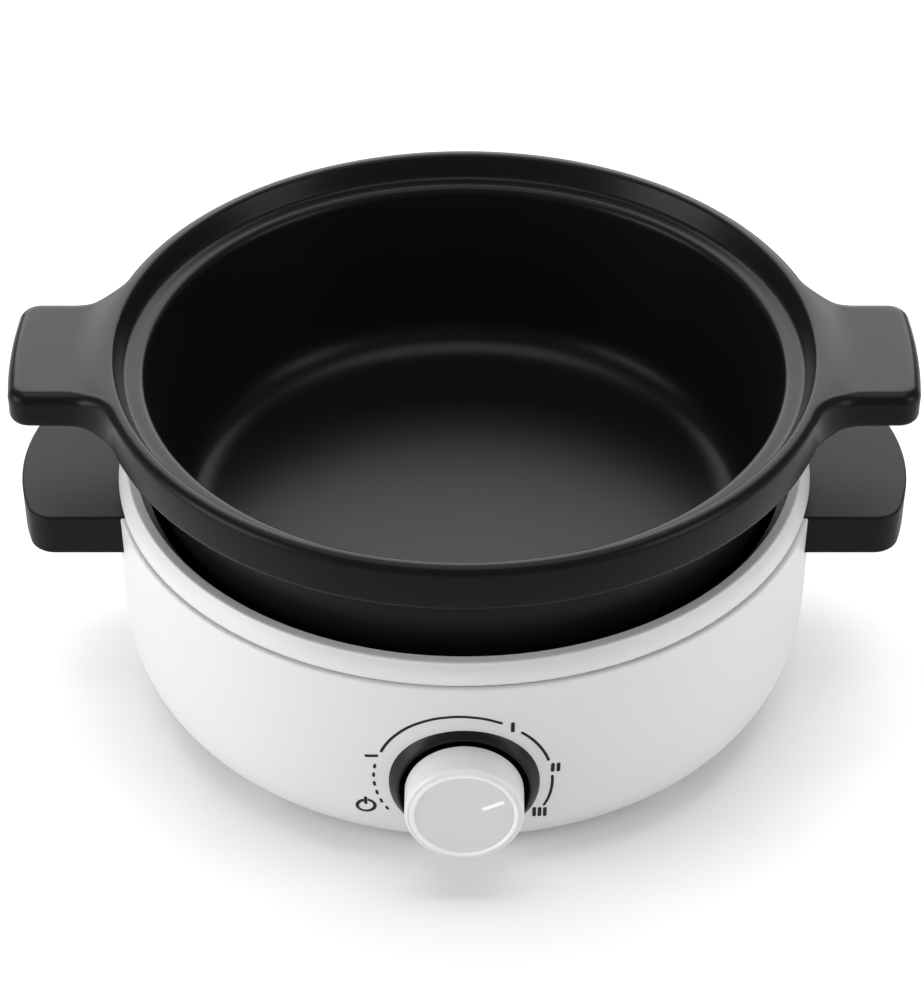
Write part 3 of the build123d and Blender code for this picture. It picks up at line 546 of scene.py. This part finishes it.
def inside_rows():
    rows = [(r, FLOOR_Z) for r in (4, 20, 40, 60, 80, 94)]
    rows += [(100.0, FLOOR_Z)] + corner_rows((100.0, FLOOR_Z), (113.8, FLOOR_Z), (116.7, 87.0), 12)
    rows += [(116.7 + (124.5 - 116.7) * t / 10, 87.0 + (139.4 - 87.0) * t / 10) for t in range(11)]
    rows += corner_rows((124.5, 139.4), (125.0, 143.0), (127.8, 143.0), 6)
    rows += [(127.8, 143.0), (129.6, 143.0), (131.2, 143.0)]
    rows += corner_rows((131.2, 143.0), (133.1, 143.0), (133.9, 145.2), 5) + [(133.9, 145.2), (135.2, 148.4)]
    rows += [(136.3, 150.6)] + corner_rows((136.3, 150.6), (136.9, 152.0), (138.2, 152.0), 5)
    return rows


def outside_rows():
    rows = corner_rows((131.8, RIM_FOOT_Z), (128.2, RIM_FOOT_Z), (127.0, 128.2), 6)
    rows += [(127.0 - 5.0 * t / 8, 128.2 - 46.2 * t / 8) for t in range(9)]
    rows += corner_rows((122.0, 82.0), (119.6, FOOT_Z), (105.5, FOOT_Z), 10)
    rows += [(105.5, FOOT_Z), (90, FOOT_Z), (66.0, FOOT_Z)]
    rows += [(64.5, FOOT_Z + 0.8), (40, FOOT_Z + 0.8), (4, FOOT_Z + 0.8)]
    return rows


def top_height(radius_mm):
    return TOP_Z - (TOP_Z - TAB_TOP_Z) * eased(radius_mm, RIM_R / MM - 3.5, RIM_R / MM + 9)


def foot_height(radius_mm):
    return RIM_FOOT_Z + (TAB_FOOT_Z - RIM_FOOT_Z) * eased(radius_mm, RIM_R / MM - 1, RIM_R / MM + 8)


# %% [markdown]
# The rim's own rows run between a circle at the crest and the outline. Three level rows cross the top, then
# the edge turns over in a quarter round, goes down the side and turns under in a smaller quarter round.
# The rounding is a touch larger on the tabs than on the rim.


# %% Rows that follow the outline
def softness(point):
    """Radius of the edge rounding in mm: larger out on a tab."""
    return 3.6 + 1.0 * eased(hypot(*point) / MM, RIM_R / MM, RIM_R / MM + 10)


def column(index):
    """All points of one column, from the floor's middle over the rim to the pot's foot."""
    (edge, normal), angle = outline[index], angles[index]
    spoke = Vector((cos(angle), sin(angle)))
    points = [(spoke * r * MM, z) for r, z in inside_rows()]
    soft = softness(edge)
    under = 0.62 * soft
    crest = spoke * 138.2 * MM
    inset = edge - normal * soft * MM
    top_steps, turn_steps = 9, 8
    for i in range(top_steps + 1):
        spot = crest.lerp(inset, i / top_steps)
        points.append((spot, top_height(spot.length / MM)))
    top = top_height(inset.length / MM) - soft
    for i in range(1, turn_steps + 1):
        turn = pi / 2 * i / turn_steps
        points.append((inset + normal * soft * MM * sin(turn), top + soft * cos(turn)))
    low_inset = edge - normal * under * MM
    low = foot_height(low_inset.length / MM)
    points.append((edge - normal * 0.15 * MM, (top + low + under) / 2))
    for i in range(turn_steps - 1):
        turn = pi / 2 * i / (turn_steps - 2)
        points.append((low_inset + normal * under * MM * (cos(turn) - 0.05), low + under - under * sin(turn)))
    foot = spoke * 131.8 * MM
    for i in range(1, 8):
        spot = low_inset.lerp(foot, i / 7)
        points.append((spot, foot_height(spot.length / MM)))
    points += [(spoke * r * MM, z) for r, z in outside_rows()]
    return [Vector((p.x, p.y, z * MM)) + AXIS for p, z in points]


def pot_skin():
    columns = [column(i) for i in range(len(outline))]
    height, width = len(columns[0]), len(columns)
    points = [p for line in columns for p in line]
    faces = []
    for c in range(width):
        right = (c + 1) % width
        for r in range(height - 1):
            faces.append((c * height + r, c * height + r + 1, right * height + r + 1, right * height + r))
    for row, z in ((0, FLOOR_Z), (height - 1, FOOT_Z + 0.8)):
        centre = len(points)
        points.append(AXIS + Vector((0, 0, z * MM)))
        for c in range(width):
            here, there = c * height + row, (c + 1) % width * height + row
            faces.append((centre, there, here) if row else (centre, here, there))
    return new_mesh("pot_skin", points, faces)


pot = pot_skin()
pot.data.materials.append(glaze.material)
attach(pot, "pot_body")
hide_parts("pot")
print("pot skin faces:", len(pot.data.polygons))

# %% [markdown]
# ## The ring round the knob
# The ring's crest is flat, but its outer edge lies on a wall that curves both ways, so its slope is nearly
# nothing at the top and steep at the bottom. Rows of points run from the edge on the wall up to the crest,
# over it and down into the well; each point is found by mixing the two circles. Casting a ray finds the wall.

# %% Finding the wall straight behind the dial's plane
wall = BVHTree.FromObject(nodes["base_shell"], bpy.context.evaluated_depsgraph_get())


def on_wall(across, up):
    """(point, outward normal) where the wall is, straight behind a place on the dial's plane."""
    start = Vector((DIAL.x + across * MM, shell_low.y - 0.05, DIAL.z + up * MM))
    place, normal, _, _ = wall.ray_cast(start, Vector((0, 1, 0)))
    return place, normal


# %% The ring's skin
bezel_low, bezel_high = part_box("knob_bezel")
BEZEL_R = (bezel_high.x - bezel_low.x) / 2
CREST_Y = bezel_low.y
CREST_R, WELL_R = 25.2 * MM, 24.6 * MM
WELL_DEEP = 4.0 * MM
EDGE_PROUD = 0.3 * MM


def bezel_column(angle):
    """Points of one section: buried edge, slope, rounded crest, well wall and the well's floor."""
    spoke = Vector((cos(angle), 0, sin(angle)))
    edge, _ = on_wall(BEZEL_R * spoke.x / MM, BEZEL_R * spoke.z / MM)
    centre = Vector((DIAL.x, 0, DIAL.z))
    points = [(BEZEL_R, edge.y + 1.0 * MM), (BEZEL_R, edge.y - 0.5 * EDGE_PROUD)]
    points.append((BEZEL_R - 0.25 * MM, edge.y - EDGE_PROUD))
    for i in range(1, 8):
        t = i / 8
        bulge = 0.25 * MM * sin(pi * t)
        rise = (CREST_Y - edge.y) * t - bulge * t
        points.append((BEZEL_R + (CREST_R - BEZEL_R) * t, edge.y - EDGE_PROUD + rise))
    points.append((CREST_R, CREST_Y + 0.04 * MM))
    points.append((CREST_R - 0.2 * MM, CREST_Y))
    points.append((WELL_R + 0.12 * MM, CREST_Y + 0.08 * MM))
    points.append((WELL_R, CREST_Y + 0.35 * MM))
    points.append((WELL_R, CREST_Y + WELL_DEEP))
    points.append((6.0 * MM, CREST_Y + WELL_DEEP))
    return [centre + spoke * r + Vector((0, y, 0)) for r, y in points]


def bezel_skin():
    """The ring as one closed shell: its sections joined round, and a back from the edge to the well."""
    steps = 144
    columns = [bezel_column(2 * pi * i / steps) for i in range(steps)]
    count = len(columns[0])
    points = [p for line in columns for p in line]
    faces = []
    for c in range(steps):
        right = (c + 1) % steps
        for r in range(count):
            after = (r + 1) % count
            faces.append((c * count + r, right * count + r, right * count + after, c * count + after))
    return new_mesh("bezel_skin", points, faces)


ring_skin = bezel_skin()
ring_skin.data.materials.append(bezel_black.material)
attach(ring_skin, "base")
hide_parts("knob_bezel")
print("bezel skin faces:", len(ring_skin.data.polygons))

# %% [markdown]
# ## The printed dial
# The heat marks are pad-printed straight on to the curved wall. Each is a thin film of ink, so each is a
# flat outline on the dial's plane thrown back on to the wall along +Y, and given a thickness of a tenth of a
# millimetre, so that the ink stays on the wall whatever the wall's shape is.

# %% Laying an outline on the wall
INK = 0.09 * MM
INK_ROOT = 0.06 * MM


def ink_strip(name, middle_line, width):
    """A closed film along a line of (across, up, share of the width) points in mm."""
    points, faces = [], []
    count = len(middle_line)
    for i, (across, up, share) in enumerate(middle_line):
        ahead, behind = middle_line[min(i + 1, count - 1)], middle_line[max(i - 1, 0)]
        run = Vector((ahead[0] - behind[0], ahead[1] - behind[1])).normalized()
        side = Vector((-run.y, run.x)) * width / 2 * share
        for sign in (1, -1):
            place, normal = on_wall(across + sign * side.x, up + sign * side.y)
            points += [place + normal * INK, place - normal * INK_ROOT]
        if i:
            a, b = 4 * (i - 1), 4 * i
            faces += [(a, b, b + 2, a + 2), (a + 1, a + 3, b + 3, b + 1)]
            faces += [(a, a + 1, b + 1, b), (a + 2, b + 2, b + 3, a + 3)]
    end = 4 * (count - 1)
    faces += [(0, 2, 3, 1), (end, end + 1, end + 3, end + 2)]
    return new_mesh(name, points, faces, smooth=False)


def line_with_ends(place, length, width):
    """Samples place(t) for t in 0..1 and narrows the last half width at each end into a round end."""
    reach = width / 2 / length
    ends = [reach * (1 - cos(radians(a))) for a in (8, 30, 50, 70, 90)]
    steps = max(4, int(length / 1.2))
    middle = [reach + (1 - 2 * reach) * i / steps for i in range(1, steps)]
    stations = ends + middle + [1 - t for t in reversed(ends)]
    made = []
    for t in stations:
        from_end = min(t, 1 - t) / reach
        share = 1.0 if from_end >= 1 else sqrt(max(0.0, 1 - (1 - from_end) ** 2))
        made.append((*place(t), share))
    return made


PRINT_ACROSS, PRINT_UP = -0.3, 0.8


def ink_arc(name, radius, start, end, width, swell=0.0):
    """An arc about the print's centre; swell moves its middle outward by that much."""
    def place(t):
        angle = radians(start + (end - start) * t)
        reach = radius + swell * sin(pi * t)
        return PRINT_ACROSS + reach * cos(angle), PRINT_UP + reach * sin(angle)
    length = radius * radians(abs(end - start))
    return ink_strip(name, line_with_ends(place, length, width), width)


def ink_bar(name, start, end, width):
    a, b = Vector(start), Vector(end)
    return ink_strip(name, line_with_ends(lambda t: tuple(a.lerp(b, t)), (b - a).length, width), width)


# %% [markdown]
# The dial reads anticlockwise from the top right: one, two and three bars for the heats, a plain dash to
# keep warm, then a row of dots down to the off mark. Arcs join the heats. Angles are in degrees from +X.
# The first arc's swell and the off ring's lean were set to look right on this curved wall.

# %% The marks
LINE = 1.12
BAR = 1.46
MARK_R = 34.0
marks = [
    ink_arc("mark_arc_low", MARK_R, 156.4, 64.5, LINE, 1.0),
    ink_arc("mark_arc_middle", MARK_R - 0.5, 50.0, 15.9, LINE),
    ink_arc("mark_arc_high", MARK_R - 0.4, 2.6, -25.0, LINE, 0.2),
    ink_bar("mark_warm", (-37.7, 11.2), (-32.4, 12.4), LINE + 0.15),
    ink_bar("mark_one", (18.15, 26.8), (18.15, 31.8), BAR),
    ink_bar("mark_two_0", (33.4, 3.9), (33.5, 8.4), BAR),
    ink_bar("mark_two_1", (35.55, 3.6), (35.65, 8.1), BAR),
]
marks += [ink_bar(f"mark_three_{i}", (26.65 + 2.05 * i, -19.5 - 0.47 * i),
                  (26.65 + 2.05 * i, -13.6 - 0.5 * i), BAR) for i in range(3)]
DOTS = 6
for i in range(DOTS):
    turn, reach = 170.0 + 7.6 * i, MARK_R + 0.1 - 0.045 * i * i
    marks.append(ink_arc(f"mark_dot_{i}", reach, turn - 2.0, turn + 2.0, LINE))

# %% The off mark: a ring with a gap at the top, and a short bar through the gap
off_x, off_z = -37.5, -15.4
OFF_R = 3.45
OFF_LINE = 1.35
OFF_LEAN = 0.30
OFF_GAP = 11
OFF_SWEEP = 360 - 2 * OFF_GAP


def off_ring(t):
    angle = radians(90 + OFF_GAP + OFF_SWEEP * t)
    across = OFF_R * cos(angle)
    return off_x + across, off_z + OFF_R * sin(angle) + OFF_LEAN * across


ring_line = line_with_ends(off_ring, OFF_R * radians(OFF_SWEEP), OFF_LINE)
marks.append(ink_strip("mark_off_ring", ring_line, OFF_LINE))
marks.append(ink_bar("mark_off_bar", (off_x - 0.1, off_z + 0.9), (off_x - 0.1, off_z + 5.3), OFF_LINE))

ink = Paint("dial_ink", (0.005, 0.005, 0.0055), 0.5, Specular_IOR_Level=0.2)
ink_cover = ink.noise(900.0, 3.0)
ink.use(Base_Color=ink.blend(ink_cover, (0.004, 0.004, 0.0045), (0.007, 0.007, 0.0075)))
ink.use(Roughness=0.42 + 0.16 * ink_cover)
for mark in marks:
    mark.data.materials.append(ink.material)
    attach(mark, "base")
print("dial marks:", len(marks))
